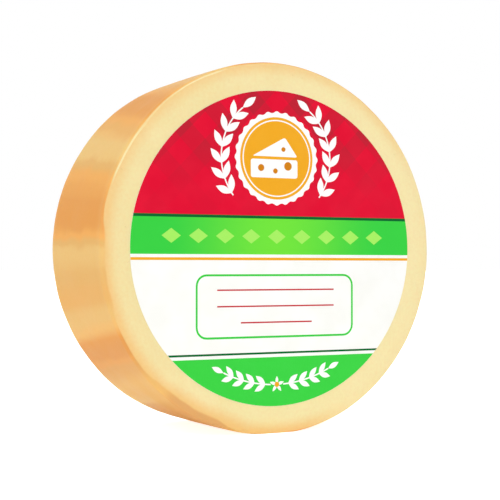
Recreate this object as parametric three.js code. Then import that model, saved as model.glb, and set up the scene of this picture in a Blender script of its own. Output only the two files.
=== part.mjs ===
// A small wheel of smoked provolone that stands on its rim, with a round printed label on its front.
// Millimetres, +Z up. The wheel's axis runs along Y, the labelled face looks towards -Y, and the origin
// is on the floor below the middle of the object.
import * as THREE from "three";
import { mergeVertices } from "three/addons/utils/BufferGeometryUtils.js";

// The wheel. Halves of its thickness and of the label's are exact in binary, so that the label lies
// on the face with neither a gap nor an overlap.
const wheelDiameter = 130;
const wheelThickness = 50.75;
const cornerRadius = 2.4;
const shoulderRadius = 24;
const shoulderSlope = THREE.MathUtils.degToRad(15);
const sideCrown = 0.15;

// The unevenness of the rind: slow waves round the rim, which lean a little from face to face.
const waveLobes = [2, 3, 5, 8, 13];
const slowestWave = 0.2;
const waveLean = THREE.MathUtils.degToRad(5);

// The spot on the rim that the wheel has settled on. Rind that comes nearer to the floor than the
// settling is pressed flat on it, and the waves fade out over the angle round the spot.
const restingWidth = 20;
const settling = 0.2;
const wavesFade = THREE.MathUtils.degToRad(30);

// The label, a disc of coated paper
const labelDiameter = 109.4;
const labelThickness = 0.25;

// Facets
const rimSegments = 144;
const shoulderSteps = 3;
const cornerSteps = 5;
const sideSteps = 6;
const mergeDistance = 0.001;

const wheelRadius = wheelDiameter / 2;
const halfThickness = wheelThickness / 2;
const axisHeight = Math.sqrt(wheelRadius ** 2 - (restingWidth / 2) ** 2);

// Half of the wheel's section, from the middle of a face to the middle of the side: the flat face,
// a gentle shoulder, a tighter corner and a side that is very slightly barrelled.
function halfSection() {
  const rightAngle = Math.PI / 2;
  const edgeRadius = wheelRadius - sideCrown;
  const cornerCentre = new THREE.Vector2(edgeRadius - cornerRadius, 0);
  const flatRadius = cornerCentre.x - (shoulderRadius - cornerRadius) * Math.sin(shoulderSlope);
  cornerCentre.y = halfThickness - shoulderRadius + (shoulderRadius - cornerRadius) * Math.cos(shoulderSlope);

  const shoulder = new THREE.EllipseCurve(
    flatRadius, halfThickness - shoulderRadius,
    shoulderRadius, shoulderRadius,
    rightAngle, rightAngle - shoulderSlope, true,
  );
  const corner = new THREE.EllipseCurve(
    cornerCentre.x, cornerCentre.y,
    cornerRadius, cornerRadius,
    rightAngle - shoulderSlope, 0, true,
  );
  const side = [];
  for (let step = 1; step <= sideSteps / 2; step++) {
    const toEdge = 1 - step / (sideSteps / 2);
    side.push(new THREE.Vector2(wheelRadius - sideCrown * toEdge ** 2, cornerCentre.y * toEdge));
  }
  return [
    new THREE.Vector2(0, halfThickness),
    ...shoulder.getPoints(shoulderSteps),
    ...corner.getPoints(cornerSteps).slice(1),
    ...side,
  ];
}

// The whole section, from the middle of the front face round the rim to the middle of the back face.
function wheelSection() {
  const back = halfSection();
  const front = back.map((point) => new THREE.Vector2(point.x, -point.y));
  return [...front, ...back.reverse().slice(1)];
}

// How far the rind stands out at an angle round the rim, counted from the lowest spot.
function rindWave(angle) {
  const goldenAngle = Math.PI * (3 - Math.sqrt(5));
  let height = 0;
  waveLobes.forEach((lobes, index) => {
    height += (slowestWave * waveLobes[0] / lobes) * Math.sin(lobes * angle + index * goldenAngle);
  });
  return height * THREE.MathUtils.smoothstep(Math.abs(angle), 0, wavesFade);
}

// The turned wheel with its rim made uneven and its lowest spot flattened on the floor. It is turned
// by half a facet, so that facets lie evenly on both sides of the lowest spot.
function wheelGeometry() {
  const geometry = new THREE.LatheGeometry(wheelSection(), rimSegments, Math.PI / rimSegments);
  geometry.deleteAttribute("normal");
  geometry.deleteAttribute("uv");
  const positions = geometry.getAttribute("position");
  const point = new THREE.Vector3();
  for (let i = 0; i < positions.count; i++) {
    point.fromBufferAttribute(positions, i);
    const radius = Math.hypot(point.x, point.z);
    const angle = Math.atan2(point.x, -point.z) + waveLean * (point.y / halfThickness);
    const onRim = THREE.MathUtils.smoothstep(radius, labelDiameter / 2, wheelRadius);
    const stretch = radius > 0 ? 1 + (onRim * rindWave(angle)) / radius : 1;
    point.x *= stretch;
    point.z *= stretch;
    if (point.z < settling - axisHeight) point.z = -axisHeight;
    positions.setXYZ(i, point.x, point.y, point.z);
  }
  const closed = mergeVertices(geometry, mergeDistance);
  closed.computeVertexNormals();
  return closed;
}

function makeWheel() {
  const rind = new THREE.MeshStandardMaterial({ color: 0xecb46e, roughness: 0.38, metalness: 0 });
  const wheel = new THREE.Mesh(wheelGeometry(), rind);
  wheel.name = "cheese_wheel";
  return wheel;
}

// The label lies flat on the front face, inside the start of the shoulder.
function makeLabel() {
  const paper = new THREE.MeshStandardMaterial({ color: 0xfefefd, roughness: 0.3, metalness: 0 });
  const radius = labelDiameter / 2;
  const disc = new THREE.CylinderGeometry(radius, radius, labelThickness, rimSegments);
  const label = new THREE.Mesh(disc, paper);
  label.name = "label";
  label.position.y = -(halfThickness + labelThickness / 2);
  return label;
}

const provolone = new THREE.Group();
provolone.name = "provolone";
provolone.add(makeWheel(), makeLabel());
provolone.position.set(0, labelThickness / 2, axisHeight);

export default provolone;
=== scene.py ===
from math import asin, cos, hypot, pi, radians, sin

import bpy
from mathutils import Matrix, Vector


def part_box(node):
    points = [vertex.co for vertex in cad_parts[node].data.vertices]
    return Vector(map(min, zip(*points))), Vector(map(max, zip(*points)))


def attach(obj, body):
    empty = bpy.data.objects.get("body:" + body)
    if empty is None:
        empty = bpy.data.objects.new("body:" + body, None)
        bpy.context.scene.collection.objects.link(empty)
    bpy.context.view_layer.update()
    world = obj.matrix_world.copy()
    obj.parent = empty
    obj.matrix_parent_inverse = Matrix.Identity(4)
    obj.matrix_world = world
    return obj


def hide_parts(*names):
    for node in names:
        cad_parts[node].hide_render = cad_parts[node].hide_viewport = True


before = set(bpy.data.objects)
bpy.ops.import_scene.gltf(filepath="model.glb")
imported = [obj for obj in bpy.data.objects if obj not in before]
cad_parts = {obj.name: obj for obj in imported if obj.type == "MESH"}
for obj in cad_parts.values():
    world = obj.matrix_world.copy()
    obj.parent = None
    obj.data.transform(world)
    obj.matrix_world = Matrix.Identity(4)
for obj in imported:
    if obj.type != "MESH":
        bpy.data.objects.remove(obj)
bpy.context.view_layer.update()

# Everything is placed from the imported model: the wheel's two faces and the disc of its label.
mm = 0.001
wheelLow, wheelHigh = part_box("cheese_wheel")
labelLow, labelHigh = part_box("label")
axisHeight = (labelLow.z + labelHigh.z) / 2
labelRadius = (labelHigh.x - labelLow.x) / 2
wheelCentre = Vector(((wheelLow.x + wheelHigh.x) / 2, (wheelLow.y + wheelHigh.y) / 2, axisHeight))
print("frame loaded")


# Tools for modelling

def editNew(name):
    # names the primitive just added and opens it with everything selected
    piece = bpy.context.active_object
    piece.name = piece.data.name = name
    bpy.ops.object.mode_set(mode="EDIT")
    bpy.ops.mesh.select_mode(type="VERT")
    bpy.ops.mesh.select_all(action="SELECT")
    return piece


def startPoint(name, place):
    # a small plane merged to its middle is one vertex, the start of a section or an outline
    bpy.ops.object.select_all(action="DESELECT")
    bpy.ops.mesh.primitive_plane_add(size=mm, location=place)
    piece = editNew(name)
    bpy.ops.mesh.merge(type="CENTER")
    return piece


def extrudeTo(step):
    bpy.ops.mesh.extrude_vertices_move(TRANSFORM_OT_translate={"value": step})


def selectVertices(piece, wanted):
    # selects what lies where wanted(place) says, in edit mode
    bpy.ops.mesh.select_all(action="DESELECT")
    bpy.ops.object.mode_set(mode="OBJECT")
    for vertex in piece.data.vertices:
        vertex.select = wanted(piece.matrix_world @ vertex.co)
    bpy.ops.object.mode_set(mode="EDIT")


def pickAlone(piece):
    bpy.ops.object.select_all(action="DESELECT")
    piece.select_set(True)
    bpy.context.view_layer.objects.active = piece


def settle(piece, smoothAngle):
    # puts the place of a piece into its mesh and shades it
    bpy.ops.object.mode_set(mode="OBJECT")
    pickAlone(piece)
    bpy.ops.object.transform_apply(location=True, rotation=True, scale=True)
    bpy.ops.object.shade_smooth_by_angle(angle=smoothAngle)


def dress(piece, material):
    piece.data.materials.clear()
    piece.data.materials.append(material)
    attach(piece, "root")


# Tools for materials

mostNoise = (0.3, 0.7)           # nearly all of a noise lies between these


def colour(hexColour):
    channels = [int(hexColour[i:i + 2], 16) / 255 for i in (0, 2, 4)]
    return (*(c / 12.92 if c <= 0.04045 else ((c + 0.055) / 1.055) ** 2.4 for c in channels), 1)


def newMaterial(name):
    # gives the material, its tree, its shader and the place of a point on the piece
    material = bpy.data.materials.new(name)
    material.use_nodes = True
    tree = material.node_tree
    place = tree.nodes.new("ShaderNodeTexCoord").outputs["Object"]
    return material, tree, tree.nodes["Principled BSDF"], place


def feed(tree, value, socket):
    # a socket takes another node's output or a plain value
    if isinstance(value, bpy.types.NodeSocket):
        tree.links.new(value, socket)
    else:
        socket.default_value = value


def maths(tree, operation, first, second=0.0):
    node = tree.nodes.new("ShaderNodeMath")
    node.operation = operation
    feed(tree, first, node.inputs[0])
    feed(tree, second, node.inputs[1])
    return node.outputs[0]


def plus(tree, first, second):
    return maths(tree, "ADD", first, second)


def minus(tree, first, second):
    return maths(tree, "SUBTRACT", first, second)


def times(tree, first, second):
    return maths(tree, "MULTIPLY", first, second)


def lengthOf(tree, first, second):
    # the length of a step with these two sides
    return maths(tree, "SQRT", plus(tree, times(tree, first, first), times(tree, second, second)))


def between(tree, value, low, high, toLow=0.0, toHigh=1.0):
    # eases from one value to another while the input goes from low to high
    node = tree.nodes.new("ShaderNodeMapRange")
    node.interpolation_type = "SMOOTHSTEP"
    for socket, number in zip(node.inputs, (value, low, high, toLow, toHigh)):
        feed(tree, number, socket)
    return node.outputs[0]


def mixed(tree, share, first, second):
    node = tree.nodes.new("ShaderNodeMix")
    node.data_type = "RGBA"
    feed(tree, share, node.inputs["Factor"])
    feed(tree, first, node.inputs["A"])
    feed(tree, second, node.inputs["B"])
    return node.outputs["Result"]


def axes(tree, vector):
    node = tree.nodes.new("ShaderNodeSeparateXYZ")
    feed(tree, vector, node.inputs[0])
    return node.outputs


def noise(tree, place, width, detail=2.0):
    # soft noise whose spots are about width across
    node = tree.nodes.new("ShaderNodeTexNoise")
    node.inputs["Scale"].default_value = 1 / width
    node.inputs["Detail"].default_value = detail
    feed(tree, place, node.inputs["Vector"])
    return node.outputs["Fac"]


def mapped(tree, place, location=(0, 0, 0), rotation=(0, 0, 0), scale=(1, 1, 1)):
    node = tree.nodes.new("ShaderNodeMapping")
    node.inputs["Location"].default_value = location
    node.inputs["Rotation"].default_value = rotation
    node.inputs["Scale"].default_value = scale
    feed(tree, place, node.inputs["Vector"])
    return node.outputs[0]


def bumped(tree, height, depth, under=None):
    node = tree.nodes.new("ShaderNodeBump")
    node.inputs["Distance"].default_value = depth
    feed(tree, height, node.inputs["Height"])
    if under:
        feed(tree, under, node.inputs["Normal"])
    return node.outputs[0]


# The cheese

cheese = {
    "radius": (wheelHigh.x - wheelLow.x) / 2 + 0.13 * mm,    # before it is dented
    "shoulderRadius": 24 * mm,
    "shoulderSlope": radians(15),
    "cornerRadius": 1.7 * mm,
    "sideRadius": 1600 * mm,     # a side that is very slightly barrelled
    "hiddenRadius": 0.97,        # of the label's radius, where the front face needs no detail
    "labelClearance": 0.3 * mm,  # flat face that shows round the label
    "rimSteps": 480,
    "shoulderSteps": 8,
    "cornerSteps": 9,
    "sideSteps": 46,
    "faceCuts": 38,
    "onPlane": 0.01 * mm,        # what is nearer than this to a face's plane lies on it
    "mergeWithin": 0.002 * mm,
    "smoothAngle": radians(60),
    "calmDepth": 3 * mm,         # how far behind the front face the rind has no dents near the label
    "calmFade": 5 * mm,          # and over what width from there outwards they grow
    "waveDepth": 0.32 * mm,      # soft flats that run from face to face
    "waveWidth": 22 * mm,
    "waveStretch": 7,
    "dentDepth": 0.14 * mm,
    "dentWidth": 6 * mm,
    "pressed": 0.03 * mm,        # rind nearer to the floor than this lies flat on it
}


def arcOn(point, facing, radius, angle, steps):
    # carries a section on along an arc; facing is the way its surface looks, in the plane of X and Y,
    # and the axis looks down because a spin turns clockwise
    centre = point - radius * Vector((cos(facing), sin(facing), 0))
    bpy.ops.mesh.spin(steps=steps, angle=angle, center=centre, axis=(0, 0, -1))
    facing += angle
    return centre + radius * Vector((cos(facing), sin(facing), 0)), facing


def makeCheese(c):
    # the section from the middle of the front face round the rim to the middle of the back face,
    # drawn about X 0 and moved into its place at the end
    half = (wheelHigh.y - wheelLow.y) / 2
    slope, shoulder = c["shoulderSlope"], c["shoulderRadius"]
    corner, side = c["cornerRadius"], c["sideRadius"]
    shoulderDepth = shoulder * (1 - cos(slope))
    sideAngle = asin((half - shoulderDepth - corner * cos(slope)) / (side - corner))
    cornerWidth = corner * (cos(sideAngle) - sin(slope))
    flatRadius = c["radius"] - (shoulder * sin(slope) + cornerWidth + side * (1 - cos(sideAngle)))

    point = Vector((0, wheelLow.y, axisHeight))
    piece = startPoint("cheeseWheel", point)
    for radius in (c["hiddenRadius"] * labelRadius, labelRadius + c["labelClearance"], flatRadius):
        extrudeTo((radius - point.x, 0, 0))
        point.x = radius
    point, facing = arcOn(point, -pi / 2, shoulder, slope, c["shoulderSteps"])
    point, facing = arcOn(point, facing, corner, pi / 2 - slope - sideAngle, c["cornerSteps"])
    point, facing = arcOn(point, facing, side, 2 * sideAngle, c["sideSteps"])
    point, facing = arcOn(point, facing, corner, pi / 2 - slope - sideAngle, c["cornerSteps"])
    arcOn(point, facing, shoulder, slope, c["shoulderSteps"])
    extrudeTo((-flatRadius, 0, 0))

    # more rings on the bare back face, then the section is spun into the wheel
    selectVertices(piece, lambda p: p.y > wheelHigh.y - c["onPlane"])
    bpy.ops.mesh.subdivide(number_cuts=c["faceCuts"])
    bpy.ops.mesh.select_all(action="SELECT")
    bpy.ops.mesh.spin(steps=c["rimSteps"], angle=2 * pi, center=(0, 0, axisHeight), axis=(0, 1, 0))
    bpy.ops.mesh.select_all(action="SELECT")
    bpy.ops.mesh.remove_doubles(threshold=c["mergeWithin"])
    bpy.ops.mesh.normals_make_consistent(inside=False)
    bpy.ops.transform.translate(value=(wheelCentre.x, 0, 0))
    settle(piece, c["smoothAngle"])
    return piece


def dent(piece, name, width, depth, along=None):
    # presses noise into the rind, never out of it
    texture = bpy.data.textures.new(name, "CLOUDS")
    texture.noise_scale = width
    texture.noise_depth = 1
    modifier = piece.modifiers.new(name, "DISPLACE")
    modifier.texture = texture
    modifier.mid_level = 1
    modifier.strength = depth
    modifier.vertex_group = "rind"
    modifier.texture_coords = "LOCAL"
    if along:
        modifier.texture_coords = "OBJECT"
        modifier.texture_coords_object = along
    bpy.ops.object.modifier_apply(modifier=name)


def roughenCheese(piece, c):
    # the face under the label and just round it stays flat
    rindGroup = piece.vertex_groups.new(name="rind")
    flatTo = labelRadius + c["labelClearance"]
    for vertex in piece.data.vertices:
        radius = hypot(vertex.co.x - wheelCentre.x, vertex.co.z - axisHeight)
        nearFront = vertex.co.y < wheelLow.y + c["calmDepth"]
        share = min(1, max(0, (radius - flatTo) / c["calmFade"])) if nearFront else 1
        rindGroup.add([vertex.index], share, "REPLACE")
    bpy.ops.object.empty_add(location=wheelCentre)
    stretch = bpy.context.active_object
    stretch.scale = (1, c["waveStretch"], 1)
    pickAlone(piece)
    dent(piece, "rindWaves", c["waveWidth"], c["waveDepth"], along=stretch)
    dent(piece, "rindDents", c["dentWidth"], c["dentDepth"])
    bpy.data.objects.remove(stretch)

    # the spot that the wheel stands on
    bpy.ops.object.mode_set(mode="EDIT")
    selectVertices(piece, lambda p: p.z < c["pressed"])
    bpy.ops.transform.resize(value=(1, 1, 0), center_override=(0, 0, 0))
    bpy.ops.object.mode_set(mode="OBJECT")


def around(middle, hold, reach, **rest):
    # a stretch of the rim, in degrees from +X towards +Z: something is full up to hold either way from
    # its middle and gone at its reach
    return {"middle": radians(middle), "hold": radians(hold), "reach": radians(reach), **rest}


rind = {
    "cream": "F3E4AE",
    "creamDeep": "F0DFA6",
    # the golden rim of a face: partly rind tone, partly painted shade on the rounded edge
    "edge": "F0C682",
    "paleGold": "EFC77E",
    "gold": "E9B76D",
    "orange": "F3B15F",
    "tan": "E2AC60",
    # darker and bluer: painted shade and painted sheen on the corner that faces the floor
    "cornerShadeAndSheenTone": "DFAA6D",
    "smoked": "E9A153",
    # a darker tone, laid on as painted shade
    "deepest": "DC9E60",
    # the pale tone of the painted highlight on the front edge
    "paintedHighlight": "F6E6B0",
    "cloudWidth": 14 * mm,
    "cloudDetail": 3,
    "cloudDeepens": (0.35, 0.75),    # clouds between which the cream of a face deepens
    "creamTilt": 0.3,            # and how much lower they are at the +X end, and higher at the other: painted light, the face paler to the right
    "edgeFrom": 0.9,             # of the radius, where a face starts to turn golden, and is golden
    "edgeFull": 0.99,
    "edgeWider": around(243, 4, 18, wider=1.6 * mm),    # and where it starts farther in
    "goldenAcross": 0.6,         # how golden it is across the wheel from the deepest smoke
    "goldenLeast": 0.1,          # and where the smoke hardly reached
    "goldenBesideHighlight": around(134, 10, 50, left=0.65),    # and how much of that is left along the painted highlight, where the edge is painted paler as if lit
    "smokiest": radians(230),    # where round the rim, from +X towards +Z, the smoke is deepest
    "acrossReach": (-1, -0.5),   # how near to that, from 1 there to -1 across, the gold weakens
    "paleSide": radians(340),    # where the smoke hardly reached, and how near to that it weakens
    "paleReach": (0.8, 0.45),
    "sideFrom": 1.26 * mm,       # how deep behind a face the colour of the side begins, and is full
    "sideFull": 1.44 * mm,
    "paleDeeper": 1.5 * mm,      # how much deeper it begins on the pale side
    "laps": [                    # and on stretches of the lower rim
        around(213, 35, 45.5, deeper=-0.5 * mm),
        around(211, 6, 15, deeper=0.3 * mm),
        around(240, 7, 13, deeper=-0.06 * mm),
    ],
    "bands": 9,                  # round the side: mostly painted reflections of the studio lights, partly smoke tone
    "bandStart": radians(149.5),    # the middle of a pale band
    "bandSlant": 70,             # how they lean, in radians for each square metre of height and depth
    "bandDrift": 1.2,            # how far they wander, in radians of their wave
    "driftWidth": 30 * mm,
    "driftStretch": 0.3,         # more slowly from face to face than round the rim
    "bandClouds": 0.2,           # how much the clouds blur them
    "cloudSpan": (0.2, 0.8),
    "bandTop": (0.2, 1.6),       # how high their wave turns palest: the flatter bands, the stronger ones
    "bandPalest": (0.62, 1),     # and how pale they turn
    "bandTones": [("orange", 0, 0.3), ("gold", 0.3, 0.65), ("paleGold", 0.65, 0.85)],    # over smoked
    "swells": 3,                 # a slower wave makes some bands stronger than others
    "swellStart": radians(145),
    "swellLean": 0.42,           # and shifts them
    "flatFrom": -0.3,            # the height of that wave below which they are flattest
    "ripple": 0.1,               # finer bands on the flatter ones
    "rippleLag": radians(136),
    "washes": [                  # stretches of the side where one tone is laid over the bands, two of them painted highlight and painted shade
        around(118, 3, 8, tone="orange", share=0.5),
        around(140, 1, 6, tone="orange", share=0.4),
        around(160, 1, 6, tone="orange", share=0.4),
        # a painted highlight on the side
        around(203.5, 1.5, 6.5, tone="paleGold", share=0.6),
        # painted shade, where the side catches more light
        around(218, 4, 10, tone="deepest", share=0.5),
        around(230, 2, 8, tone="paleGold", share=0.35),
        around(250, 11, 15, tone="tan", share=0.8),
    ],
    "cornerShadeAndSheen": around(242, 8, 14),    # the corner that faces the floor: painted shade against the stronger light on it, and a bluer painted sheen like the side's
    "cornerDepth": (2.4 * mm, 3.2 * mm),    # how deep behind a face that begins to end, and ends
    "worn": 0.08,                # how much paler the side is beside its edges
    "wornTo": 6.5 * mm,          # and how deep behind a face that has faded out
    "unworn": around(230, 15, 35),    # but not here
    "highlightStretch": around(134, 22, 28),    # of the edge, where a painted highlight lies as a thin pale line
    "highlightFaint": around(134, 4, 11, left=0.35),    # and what is left of that line in its middle
    "highlightFrom": 1.05 * mm,     # how deep behind the face it lies
    "highlightTo": 1.19 * mm,
    "speckleWidth": 1.1 * mm,
    "speckleSeen": (0.25, 0.8),  # fine noise between which a grain in the smoke's tone shows
    "speckleShare": 0.1,
    "speckleDepth": 0.05 * mm,
    "poreWidth": 6 * mm,
    "poreRim": (0.02, 0.09),     # of that width
    "poreDepth": 0.12 * mm,
    "roughness": (0.34, 0.46),
    "specular": 0.02,
    "coat": 0.04,
    "coatRoughness": 0.12,
    "translucence": 0.12,
    "glowDepth": 3 * mm,
    "glowTint": (1, 0.5, 0.2),
}


def nearness(tree, angle, middle):
    # 1 at that place round the rim and -1 across the wheel from it
    return maths(tree, "COSINE", minus(tree, angle, middle))


def over(tree, angle, stretch, outside=0.0, inside=1.0):
    # goes from one value outside a stretch to another inside it
    near = nearness(tree, angle, stretch["middle"])
    return between(tree, near, cos(stretch["reach"]), cos(stretch["hold"]), outside, inside)


def faceColour(tree, r, radius, centred, angle, clouds, smoked):
    # cream with soft clouds, golden towards the rim, most at the lower left: partly rind tone, partly
    # painted shade where the face rounds over
    x, _, z = axes(tree, centred)
    # painted light: the cream is paler towards +X and deeper towards -X
    clouded = plus(tree, clouds, times(tree, x, r["creamTilt"] / -radius))
    deepens = between(tree, clouded, *r["cloudDeepens"])
    cream = mixed(tree, deepens, colour(r["cream"]), colour(r["creamDeep"]))
    wider = over(tree, angle, r["edgeWider"], 0, r["edgeWider"]["wider"])
    outwards = plus(tree, lengthOf(tree, x, z), wider)
    turning = between(tree, outwards, r["edgeFrom"] * radius, r["edgeFull"] * radius)
    towardsSmoke = nearness(tree, angle, r["smokiest"])
    golden = times(tree, smoked, between(tree, towardsSmoke, *r["acrossReach"], r["goldenAcross"], 1))
    golden = maths(tree, "MAXIMUM", golden, r["goldenLeast"])
    # painted light: the golden edge is weaker along the stretch of the painted highlight
    golden = times(tree, golden, over(tree, angle, r["goldenBesideHighlight"], 1, r["goldenBesideHighlight"]["left"]))
    return mixed(tree, times(tree, turning, golden), cream, colour(r["edge"]))


def bandsOfSmokeAndReflection(tree, r, centred, angle, leaning, clouds):
    # bands of deeper and paler tone that run from face to face: mostly painted reflections of the studio
    # lights, partly smoke on the rind
    swell = maths(tree, "COSINE", times(tree, minus(tree, angle, r["swellStart"]), r["swells"]))
    long = mapped(tree, centred, scale=(1, r["driftStretch"], 1))
    drift = times(tree, minus(tree, noise(tree, long, r["driftWidth"]), 0.5), r["bandDrift"])
    drift = plus(tree, drift, times(tree, swell, r["swellLean"]))
    turned = plus(tree, times(tree, minus(tree, leaning, r["bandStart"]), r["bands"]), drift)
    cloudy = between(tree, clouds, *r["cloudSpan"], -r["bandClouds"], r["bandClouds"])
    wave = plus(tree, maths(tree, "COSINE", turned), cloudy)
    top = between(tree, swell, r["flatFrom"], 1, *r["bandTop"])
    band = between(tree, wave, -1, top, 0, between(tree, swell, -1, 1, *r["bandPalest"]))
    ripple = maths(tree, "COSINE", plus(tree, times(tree, turned, 2), r["rippleLag"]))
    band = plus(tree, band, times(tree, ripple, between(tree, swell, 1, -1, 0, r["ripple"])))
    smoke = colour(r["smoked"])
    for tone, low, high in r["bandTones"]:
        smoke = mixed(tree, between(tree, band, low, high), smoke, colour(r[tone]))
    return smoke


def sideColour(tree, r, centred, angle, clouds, depth):
    # the bands, the washes over them, a corner with painted shade and sheen, and a worn stretch beside the
    # edges
    _, y, z = axes(tree, centred)
    leaning = plus(tree, angle, times(tree, times(tree, y, z), r["bandSlant"]))
    side = bandsOfSmokeAndReflection(tree, r, centred, angle, leaning, clouds)
    for wash in r["washes"]:
        side = mixed(tree, over(tree, leaning, wash, 0, wash["share"]), side, colour(r[wash["tone"]]))
    # painted shade and painted sheen on the lower corner of the side
    corner = times(tree, over(tree, angle, r["cornerShadeAndSheen"]), between(tree, depth, *r["cornerDepth"], 1, 0))
    side = mixed(tree, corner, side, colour(r["cornerShadeAndSheenTone"]))
    worn = over(tree, angle, r["unworn"], r["worn"], 0)
    return mixed(tree, between(tree, depth, r["wornTo"], r["sideFull"], 0, worn), side, colour(r["cream"]))


def paintedHighlightLine(tree, r, forward, angle):
    # a painted highlight: a thin pale line on a stretch of the labelled side's edge, fainter in the middle
    # of that stretch
    soft = (r["highlightTo"] - r["highlightFrom"]) / 2
    line = times(tree, between(tree, forward, r["highlightFrom"] - soft, r["highlightFrom"]),
                 between(tree, forward, r["highlightTo"] + soft, r["highlightTo"]))
    stretch = times(tree, over(tree, angle, r["highlightStretch"]),
                    over(tree, angle, r["highlightFaint"], 1, r["highlightFaint"]["left"]))
    return times(tree, line, stretch)


def rindMaterial(r, radius):
    material, tree, shader, place = newMaterial("smokedRind")
    centred = mapped(tree, place, location=-wheelCentre)
    x, y, z = axes(tree, centred)
    angle = maths(tree, "ARCTAN2", z, x)
    half = (wheelHigh.y - wheelLow.y) / 2
    clouds = noise(tree, centred, r["cloudWidth"], r["cloudDetail"])
    speckle = noise(tree, centred, r["speckleWidth"])

    # how far the smoke reached round the rim, and how deep behind a face the side's colour begins
    smoked = between(tree, nearness(tree, angle, r["paleSide"]), *r["paleReach"])
    deeper = between(tree, smoked, 1, 0, 0, r["paleDeeper"])
    for lap in r["laps"]:
        deeper = plus(tree, deeper, over(tree, angle, lap, 0, lap["deeper"]))
    depth = minus(tree, minus(tree, half, maths(tree, "ABSOLUTE", y)), deeper)
    onSide = between(tree, depth, r["sideFrom"], r["sideFull"])

    face = faceColour(tree, r, radius, centred, angle, clouds, smoked)
    side = sideColour(tree, r, centred, angle, clouds, depth)
    # the painted highlight along the upper left of the front edge
    paintedHighlight = paintedHighlightLine(tree, r, plus(tree, y, half), angle)
    base = mixed(tree, paintedHighlight, mixed(tree, onSide, face, side), colour(r["paintedHighlight"]))
    grain = between(tree, speckle, *r["speckleSeen"], 0, r["speckleShare"])
    feed(tree, mixed(tree, grain, base, colour(r["smoked"])), shader.inputs["Base Color"])
    feed(tree, between(tree, clouds, *mostNoise, *r["roughness"]), shader.inputs["Roughness"])
    shader.inputs["Specular IOR Level"].default_value = r["specular"]
    shader.inputs["Coat Weight"].default_value = r["coat"]
    shader.inputs["Coat Roughness"].default_value = r["coatRoughness"]
    shader.inputs["Subsurface Weight"].default_value = r["translucence"]
    shader.inputs["Subsurface Radius"].default_value = r["glowTint"]
    shader.inputs["Subsurface Scale"].default_value = r["glowDepth"]

    # pores and a faint grain
    cells = tree.nodes.new("ShaderNodeTexVoronoi")
    cells.inputs["Scale"].default_value = 1 / r["poreWidth"]
    feed(tree, centred, cells.inputs["Vector"])
    pores = between(tree, cells.outputs["Distance"], *r["poreRim"])
    relief = bumped(tree, speckle, r["speckleDepth"])
    feed(tree, bumped(tree, pores, r["poreDepth"], relief), shader.inputs["Normal"])
    return material


cheeseWheel = makeCheese(cheese)
roughenCheese(cheeseWheel, cheese)
dress(cheeseWheel, rindMaterial(rind, cheese["radius"]))
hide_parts("cheese_wheel")
print("cheese made:", len(cheeseWheel.data.polygons), "faces")


# The label: a disc of coated paper with its print in thin layers of ink. Places on it are x and a
# height over the wheel's axis.

label = {
    "paper": 0.139 * mm,
    "ink": 0.022 * mm,
    "margin": 0.035 * mm,        # bare paper at the cut edge
    "edgeBevel": 0.03 * mm,
    "edgeSegments": 2,
    "steps": 256,                # round the label, a printed disc, a dot and a rounded corner
    "discSteps": 96,
    "dotSteps": 32,
    "cornerSegments": 6,
    "paperSmooth": radians(25),
    "inkSmooth": radians(30),
}


def makePaper(k):
    bpy.ops.object.select_all(action="DESELECT")
    bpy.ops.mesh.primitive_cylinder_add(
        vertices=k["steps"], radius=labelRadius, depth=k["paper"],
        location=(0, labelHigh.y - k["paper"] / 2, axisHeight), rotation=(pi / 2, 0, 0))
    piece = editNew("labelPaper")
    bpy.ops.mesh.select_mode(type="EDGE")
    bpy.ops.mesh.bevel(offset=k["edgeBevel"], segments=k["edgeSegments"])
    settle(piece, k["paperSmooth"])
    return piece


def inkBack(layer):
    # how far forward the ink of a layer starts, with 1 as the first on the paper
    return labelHigh.y - label["paper"] - (layer - 1) * label["ink"]


def raiseInk(piece):
    # gives a flat outline the thickness of its ink
    bpy.ops.mesh.select_all(action="SELECT")
    bpy.ops.mesh.extrude_region_move(TRANSFORM_OT_translate={"value": (0, -label["ink"], 0)})
    bpy.ops.mesh.select_all(action="SELECT")
    bpy.ops.mesh.normals_make_consistent(inside=False)
    settle(piece, label["inkSmooth"])


def printed(piece, ink):
    raiseInk(piece)
    dress(piece, ink)


def flatDisc(name, radius, x, z, layer, vertices=label["discSteps"]):
    bpy.ops.object.select_all(action="DESELECT")
    place = (x, inkBack(layer), axisHeight + z)
    bpy.ops.mesh.primitive_circle_add(
        vertices=vertices, radius=radius, fill_type="NGON", location=place, rotation=(pi / 2, 0, 0))
    return editNew(name)


def hollowOut(width):
    # leaves an outline's border
    bpy.ops.mesh.inset(thickness=width)
    bpy.ops.mesh.delete(type="ONLY_FACE")


def flatBand(name, low, high, layer=1):
    # what lies between two heights across the whole label
    piece = flatDisc(name, labelRadius - label["margin"], 0, 0, layer, label["steps"])
    for height, way in ((low, -1), (high, 1)):
        bpy.ops.mesh.select_all(action="SELECT")
        bpy.ops.mesh.bisect(plane_co=(0, 0, axisHeight + height), plane_no=(0, 0, way), clear_outer=True)
    return piece


def flatShape(name, corners, layer, rounding=0.0):
    piece = startPoint(name, Vector((corners[0][0], inkBack(layer), axisHeight + corners[0][1])))
    for (x, z), (nextX, nextZ) in zip(corners, corners[1:]):
        extrudeTo((nextX - x, 0, nextZ - z))
    bpy.ops.mesh.select_all(action="SELECT")
    bpy.ops.mesh.edge_face_add()
    if rounding:
        bpy.ops.mesh.bevel(offset=rounding, segments=label["cornerSegments"], affect="VERTICES")
    return piece


def boxCorners(x, z, width, height):
    return [(x + i * width / 2, z + j * height / 2) for i, j in ((-1, -1), (1, -1), (1, 1), (-1, 1))]


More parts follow.
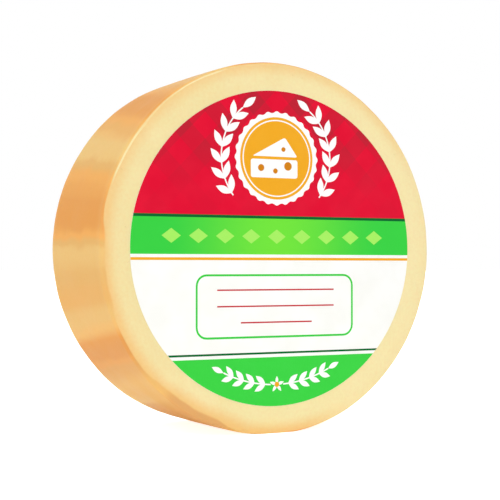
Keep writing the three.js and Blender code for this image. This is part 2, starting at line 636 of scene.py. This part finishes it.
def repeat(piece, places):
    # copies an outline drawn round the label's middle to each place, turn and size, all in the one piece
    bpy.ops.mesh.select_all(action="SELECT")
    bpy.ops.transform.translate(value=(0, 0, -axisHeight))
    bpy.ops.object.mode_set(mode="OBJECT")
    pickAlone(piece)
    bpy.ops.object.transform_apply(location=True, rotation=True, scale=True)
    first = piece.data.copy()
    bpy.ops.object.mode_set(mode="EDIT")
    bpy.ops.mesh.select_all(action="SELECT")
    bpy.ops.mesh.delete(type="VERT")
    bpy.ops.object.mode_set(mode="OBJECT")
    for x, z, turn, size in places:
        copy = bpy.data.objects.new(piece.name + "Copy", first.copy())
        bpy.context.collection.objects.link(copy)
        copy.location = (x, 0, axisHeight + z)
        copy.rotation_euler.y = turn
        copy.scale = (size, 1, size)
        copy.select_set(True)
    bpy.ops.object.join()
    bpy.ops.object.mode_set(mode="EDIT")


def leaf(name, k, layer):
    # a pointed leaf that grows up from the label's middle
    steps, reach, length = k["leafSteps"], k["leafWidth"] / 2, k["leafLength"]
    right = [(reach * sin(pi * i / steps), length * i / steps) for i in range(steps + 1)]
    left = [(-x, z) for x, z in right[-2:0:-1]]
    return flatShape(name, right + left, layer)


# The paper and the inks

coated = {
    "white": "FCFCFA",
    "whiteThin": "F8F8F4",
    "fibreWidth": 0.35 * mm,
    "fibreStretch": 0.45,        # the fibres run up the label
    "fibreDetail": 3,
    "fibreDepth": 0.012 * mm,
    "patchWidth": 9 * mm,
    "roughness": (0.30, 0.40),
    "specular": 0.06,
    "fibresInInk": 0.12,         # how much thinner the ink is on the fibres, and in patches
    "patchesInInk": 0.10,
    "fibresSeen": (0.3, 0.8),
}


def paperSurface(k, tree, shader, place):
    # the fibres of the paper, which show through the ink too, and its patches
    upwards = mapped(tree, place, scale=(1, 1, k["fibreStretch"]))
    fibres = noise(tree, upwards, k["fibreWidth"], k["fibreDetail"])
    patches = noise(tree, place, k["patchWidth"])
    feed(tree, bumped(tree, fibres, k["fibreDepth"]), shader.inputs["Normal"])
    feed(tree, between(tree, patches, *mostNoise, *k["roughness"]), shader.inputs["Roughness"])
    shader.inputs["Specular IOR Level"].default_value = k["specular"]
    return fibres, patches


def paperMaterial(k):
    material, tree, shader, place = newMaterial("labelPaper")
    fibres, patches = paperSurface(k, tree, shader, place)
    tone = between(tree, patches, *mostNoise)
    feed(tree, mixed(tree, tone, colour(k["white"]), colour(k["whiteThin"])), shader.inputs["Base Color"])
    return material


def inkMaterial(name, full, thin):
    # ink with the slight unevenness of a print run
    material, tree, shader, place = newMaterial(name)
    fibres, patches = paperSurface(coated, tree, shader, place)
    onFibres = between(tree, fibres, *coated["fibresSeen"], 0, coated["fibresInInk"])
    share = plus(tree, onFibres, between(tree, patches, *mostNoise, 0, coated["patchesInInk"]))
    feed(tree, mixed(tree, share, colour(full), colour(thin)), shader.inputs["Base Color"])
    return material


checks = {
    "bright": "DF0A31",
    "brightThin": "E41235",
    "dark": "BC2033",
    "period": 13 * mm,
    "slant": radians(45),
    "softness": 0.03,            # of a square's edge, in the height of its wave
    "fadeFrom": 16 * mm,         # heights between which the darker squares begin to show
    "fadeTo": 46 * mm,
    "strength": (0.06, 0.5),
}


def checkedRed(k):
    # a plain cloth check in two reds, which grows stronger towards the top of the label
    material, tree, shader, place = newMaterial("inkCheckedRed")
    fibres, patches = paperSurface(coated, tree, shader, place)
    centred = mapped(tree, place, location=-wheelCentre)
    slanted = axes(tree, mapped(tree, centred, rotation=(0, k["slant"], 0)))
    stripes = []
    for across in (slanted[0], slanted[2]):
        wave = maths(tree, "SINE", times(tree, across, 2 * pi / k["period"]))
        stripes.append(between(tree, wave, -k["softness"], k["softness"]))
    strength = between(tree, axes(tree, centred)[2], k["fadeFrom"], k["fadeTo"], *k["strength"])
    share = times(tree, plus(tree, *stripes), strength)
    plain = mixed(tree, between(tree, patches, *mostNoise), colour(k["bright"]), colour(k["brightThin"]))
    feed(tree, mixed(tree, share, plain, colour(k["dark"])), shader.inputs["Base Color"])
    return material


sweep = {
    "middle": "70E23C",
    "ends": "38CF43",
    "reach": 0.8 * labelRadius,
}


def sweptGreen(k):
    # a stripe that is paler towards its middle
    material, tree, shader, place = newMaterial("inkSweptGreen")
    paperSurface(coated, tree, shader, place)
    outwards = maths(tree, "ABSOLUTE", axes(tree, place)[0])
    share = between(tree, outwards, 0, k["reach"])
    feed(tree, mixed(tree, share, colour(k["middle"]), colour(k["ends"])), shader.inputs["Base Color"])
    return material


checkedRedInk = checkedRed(checks)
sweptGreenInk = sweptGreen(sweep)
redInk = inkMaterial("inkRed", "C42933", "CF4049")
greenInk = inkMaterial("inkGreen", "3AD043", "4CD853")
darkGreenInk = inkMaterial("inkDarkGreen", "06662E", "107238")
limeInk = inkMaterial("inkLime", "A4EC62", "B0F072")
amberInk = inkMaterial("inkAmber", "EFA822", "F1B33C")
deepAmberInk = inkMaterial("inkDeepAmber", "D07F12", "D98F2A")
whiteInk = inkMaterial("inkWhite", "FCFCFA", "F8F8F4")

paper = makePaper(label)
dress(paper, paperMaterial(coated))
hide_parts("label")


# The print: fields of colour across the whole label

fields = {
    "redFrom": 11.2 * mm,
    "stripe": (-2.2 * mm, 10.2 * mm),
    "underline": (-4.2 * mm, -3.3 * mm),
    "foot": -37.6 * mm,
    "footLine": (-36.6 * mm, -35.9 * mm),
    "lozengeHeight": 5 * mm,
    "lozengeWidth": 7 * mm,
    "lozengeStep": 10 * mm,
    "lozenges": 9,
}


def printFields(k):
    low, high = k["stripe"]
    printed(flatBand("labelRedField", k["redFrom"], labelRadius), checkedRedInk)
    printed(flatBand("labelStripeTop", high, k["redFrom"]), darkGreenInk)
    printed(flatBand("labelStripe", low, high), sweptGreenInk)
    printed(flatBand("labelUnderline", *k["underline"]), amberInk)
    printed(flatBand("labelFootLine", *k["footLine"]), darkGreenInk)
    printed(flatBand("labelFoot", -labelRadius, k["foot"]), greenInk)

    # a row of lozenges along the stripe
    across, up, middle = k["lozengeWidth"] / 2, k["lozengeHeight"] / 2, (low + high) / 2
    corners = [(0, middle - up), (across, middle), (0, middle + up), (-across, middle)]
    lozenge = flatShape("labelLozenges", corners, 2)
    steps = range(-(k["lozenges"] // 2), k["lozenges"] // 2 + 1)
    repeat(lozenge, [(step * k["lozengeStep"], 0, 0, 1) for step in steps])
    printed(lozenge, limeInk)


seal = {
    "height": 31.2 * mm,
    "radius": 16.6 * mm,
    "lobes": 28,
    "lobeDepth": 0.94,
    "lobeRounding": 0.7 * mm,
    "lobeSegments": 5,
    "discRadius": 14.3 * mm,
    "ringRadius": 13.4 * mm,
    "ringWidth": 0.45 * mm,
    # the wedge's corners, and the places and radii of its holes, in mm from the seal's middle
    "wedgeCut": [(-10.2, -6.8), (8.2, -6.8), (8.2, -0.4), (-10.2, -0.4)],
    "wedgeTop": [(-9.6, 0.6), (8.2, 0.6), (3.2, 7.4)],
    "holes": [(-6.2, -3.4, 1.2), (-0.6, -4.4, 0.9), (4.4, -2.6, 1.5), (2.6, 3.2, 0.8)],
    "wedgeRounding": 0.8 * mm,
}


def printSeal(k):
    # a white disc with a lobed edge: every second corner is drawn in, and all are rounded
    height = k["height"]
    centre = Vector((0, inkBack(2), axisHeight + height))
    lobed = flatDisc("labelSeal", k["radius"], 0, height, 2, 2 * k["lobes"])
    bpy.ops.mesh.select_nth(skip=1, nth=1)
    bpy.ops.transform.resize(value=(k["lobeDepth"], 1, k["lobeDepth"]), center_override=centre)
    bpy.ops.mesh.select_all(action="SELECT")
    bpy.ops.mesh.bevel(offset=k["lobeRounding"], segments=k["lobeSegments"], affect="VERTICES")
    printed(lobed, whiteInk)
    printed(flatDisc("labelSealDisc", k["discRadius"], 0, height, 3), amberInk)
    ring = flatDisc("labelSealRing", k["ringRadius"], 0, height, 4)
    hollowOut(k["ringWidth"])
    printed(ring, whiteInk)

    # a wedge of cheese: its cut side, its top and a few holes
    for name, corners in (("labelWedgeCut", k["wedgeCut"]), ("labelWedgeTop", k["wedgeTop"])):
        places = [(x * mm, height + z * mm) for x, z in corners]
        printed(flatShape(name, places, 4, k["wedgeRounding"]), whiteInk)
    hole = flatDisc("labelWedgeHoles", mm, 0, 0, 5, label["dotSteps"])
    repeat(hole, [(x * mm, height + z * mm, 0, radius) for x, z, radius in k["holes"]])
    printed(hole, deepAmberInk)


sprigs = {
    "leafLength": 6.4 * mm,
    "leafWidth": 2.5 * mm,
    "leafSpread": radians(34),
    "leafSteps": 10,
    "stemWidth": 0.5 * mm,
    "stemSteps": 24,
    "bare": radians(2.5),        # stem below the first leaves
    "seal": {
        "middle": seal["height"], "radius": 21.5 * mm,
        "from": radians(-38), "to": radians(52), "pairs": 6, "size": 1,
    },
    "foot": {
        "middle": 0, "radius": 47.2 * mm,
        "from": radians(-87), "to": radians(-64), "pairs": 4, "size": 0.75,
    },
    "petals": 5,
    "petalSize": 0.45,
    "budRadius": 0.9 * mm,
}


def printSprigs(name, k, s):
    # two white sprigs that mirror each other on a circle, with a leaf either way at each step and one
    # at the tip
    first, last = s["from"] + k["bare"], s["to"]
    leaves = []
    for step in range(s["pairs"] + 1):
        along = first + (last - first) * step / s["pairs"]
        x, z = s["radius"] * cos(along), s["middle"] + s["radius"] * sin(along)
        spreads = (-k["leafSpread"], k["leafSpread"]) if step < s["pairs"] else (0,)
        for spread in spreads:
            turn = spread - along
            leaves += [(x, z, turn, s["size"]), (-x, z, -turn, s["size"])]
    sprig = leaf(f"label{name}Leaves", k, 2)
    repeat(sprig, leaves)
    printed(sprig, whiteInk)
    stem = startPoint(f"label{name}Stems", (s["radius"] - k["stemWidth"] / 2, inkBack(3), axisHeight))
    extrudeTo((k["stemWidth"], 0, 0))
    bpy.ops.mesh.select_all(action="SELECT")
    bpy.ops.mesh.spin(
        steps=k["stemSteps"], angle=last - s["from"], center=(0, inkBack(3), axisHeight), axis=(0, 1, 0))
    repeat(stem, [(0, s["middle"], -s["from"], 1), (0, s["middle"], last - pi, 1)])
    printed(stem, whiteInk)


def printBlossom(k):
    # a small blossom where the lower sprigs meet
    height = -k["foot"]["radius"]
    petal = leaf("labelBlossom", k, 2)
    repeat(petal, [(0, height, 2 * pi * i / k["petals"], k["petalSize"]) for i in range(k["petals"])])
    printed(petal, whiteInk)
    printed(flatDisc("labelBlossomBud", k["budRadius"], 0, height, 3, label["dotSteps"]), amberInk)


panel = {
    "box": (0, -20 * mm, 62 * mm, 22 * mm),    # its middle, width and height
    "rounding": 4 * mm,
    "outline": 0.7 * mm,
    "rules": ((-14.4 * mm, 46 * mm), (-20 * mm, 46 * mm), (-25.6 * mm, 28 * mm)),    # height, length
    "ruleWidth": 0.5 * mm,
}


def printPanel(k):
    # a blank panel with lines to write on
    frameLine = flatShape("labelPanel", boxCorners(*k["box"]), 1, k["rounding"])
    hollowOut(k["outline"])
    printed(frameLine, greenInk)
    for number, (height, width) in enumerate(k["rules"], 1):
        corners = boxCorners(0, height, width, k["ruleWidth"])
        printed(flatShape(f"labelRule{number}", corners, 1), redInk)


printFields(fields)
printSeal(seal)
printSprigs("Seal", sprigs, sprigs["seal"])
printSprigs("Foot", sprigs, sprigs["foot"])
printBlossom(sprigs)
printPanel(panel)
print("label made")


# The studio: a pale floor that runs off to white, soft light and the camera

studio = {
    "floorSize": 40,
    "floor": ("F6F6F6", "F9F9F9"),
    "floorPatches": 0.6,
    "floorRoughness": 0.9,
    "glowBelow": 0.25,           # the floor is a lit table: its light below the cheese, and farther off
    "glowBeyond": 0.14,
    "glowReach": (0.07, 0.16),
    "glowSeen": 0.8,             # and as the camera sees it
    "horizonLight": 0.96,
    "zenithLight": 1.04,
    "lowSky": 0.25,              # heights, as sines, between which the sky brightens
    "highSky": 0.75,
    "lamps": {
        "overheadLight": {"place": (-0.14, -0.16, 0.66), "size": (0.08, 0.8), "power": 0.6},
        "frontLight": {"place": (-0.95, -1.1, 0.6), "size": (0.9, 0.9), "power": 2.6},
        "rightLight": {"place": (1.3, -1.2, 0.4), "size": (0.9, 0.9), "power": 1.4},
        "backLight": {"place": (1.1, 1.2, 0.35), "size": (0.8, 0.8), "power": 1.2},
    },
}


def softBox(name, k):
    # a plain panel of light that looks at the cheese
    bpy.ops.object.light_add(type="AREA", location=k["place"])
    lamp = bpy.context.active_object
    lamp.name = name
    lamp.data.shape = "RECTANGLE"
    lamp.data.size, lamp.data.size_y = k["size"]
    lamp.data.energy = k["power"]
    lamp.visible_camera = False
    lamp.rotation_euler = (wheelCentre - lamp.location).to_track_quat("-Z", "X").to_euler()


def seenByCamera(tree):
    return tree.nodes.new("ShaderNodeLightPath").outputs["Is Camera Ray"]


def makeFloor(s):
    bpy.ops.object.select_all(action="DESELECT")
    bpy.ops.mesh.primitive_plane_add(size=s["floorSize"], location=(0, 0, 0))
    floor = bpy.context.active_object
    floor.name = "floor"
    material, tree, shader, place = newMaterial("floorPaper")
    tones = [colour(tone) for tone in s["floor"]]
    feed(tree, mixed(tree, noise(tree, place, s["floorPatches"]), *tones), shader.inputs["Base Color"])
    shader.inputs["Roughness"].default_value = s["floorRoughness"]
    shader.inputs["Specular IOR Level"].default_value = 0
    shader.inputs["Emission Color"].default_value = (1, 1, 1, 1)
    x, y, _ = axes(tree, place)
    glow = between(tree, lengthOf(tree, x, y), *s["glowReach"], s["glowBelow"], s["glowBeyond"])
    strength = between(tree, seenByCamera(tree), 0, 1, glow, s["glowSeen"])
    feed(tree, strength, shader.inputs["Emission Strength"])
    floor.data.materials.append(material)


def makeSky(s):
    # the world lights softly from above, and is plain white where it is seen
    world = bpy.data.worlds.new("studio")
    bpy.context.scene.world = world
    world.use_nodes = True
    tree = world.node_tree
    plainWhite = tree.nodes["Background"]
    plainWhite.inputs["Color"].default_value = (1, 1, 1, 1)
    skyLight = tree.nodes.new("ShaderNodeBackground")
    height = axes(tree, tree.nodes.new("ShaderNodeTexCoord").outputs["Generated"])[2]
    strength = between(tree, height, s["lowSky"], s["highSky"], s["horizonLight"], s["zenithLight"])
    feed(tree, strength, skyLight.inputs["Strength"])
    choice = tree.nodes.new("ShaderNodeMixShader")
    feed(tree, seenByCamera(tree), choice.inputs[0])
    feed(tree, skyLight.outputs[0], choice.inputs[1])
    feed(tree, plainWhite.outputs[0], choice.inputs[2])
    feed(tree, choice.outputs[0], tree.nodes["World Output"].inputs["Surface"])


def makeStudio(s):
    makeFloor(s)
    makeSky(s)
    for name, lamp in s["lamps"].items():
        softBox(name, lamp)
    bpy.context.scene.view_settings.view_transform = "Standard"


camera = {
    "lens": 89.8,
    "turn": radians(-27.46),     # from looking along +Y
    "rise": radians(0.81),
    "distance": 455.6 * mm,
    "aside": -2.4 * mm,          # how far the wheel's middle is off the middle of the view
    "above": 0.3 * mm,
    "nearest": 10 * mm,
    "farthest": 200,
}


def makeCamera(k):
    turn, rise = k["turn"], k["rise"]
    right = Vector((cos(turn), sin(turn), 0))
    forward = Vector((-sin(turn) * cos(rise), cos(turn) * cos(rise), sin(rise)))
    up = right.cross(forward)
    offset = k["distance"] * forward + k["aside"] * right + k["above"] * up
    bpy.ops.object.camera_add(location=wheelCentre - offset, rotation=(pi / 2 + rise, 0, turn))
    lookout = bpy.context.active_object
    lookout.data.lens = k["lens"]
    lookout.data.clip_start = k["nearest"]
    lookout.data.clip_end = k["farthest"]
    bpy.context.scene.camera = lookout


makeStudio(studio)
makeCamera(camera)
print("studio made")
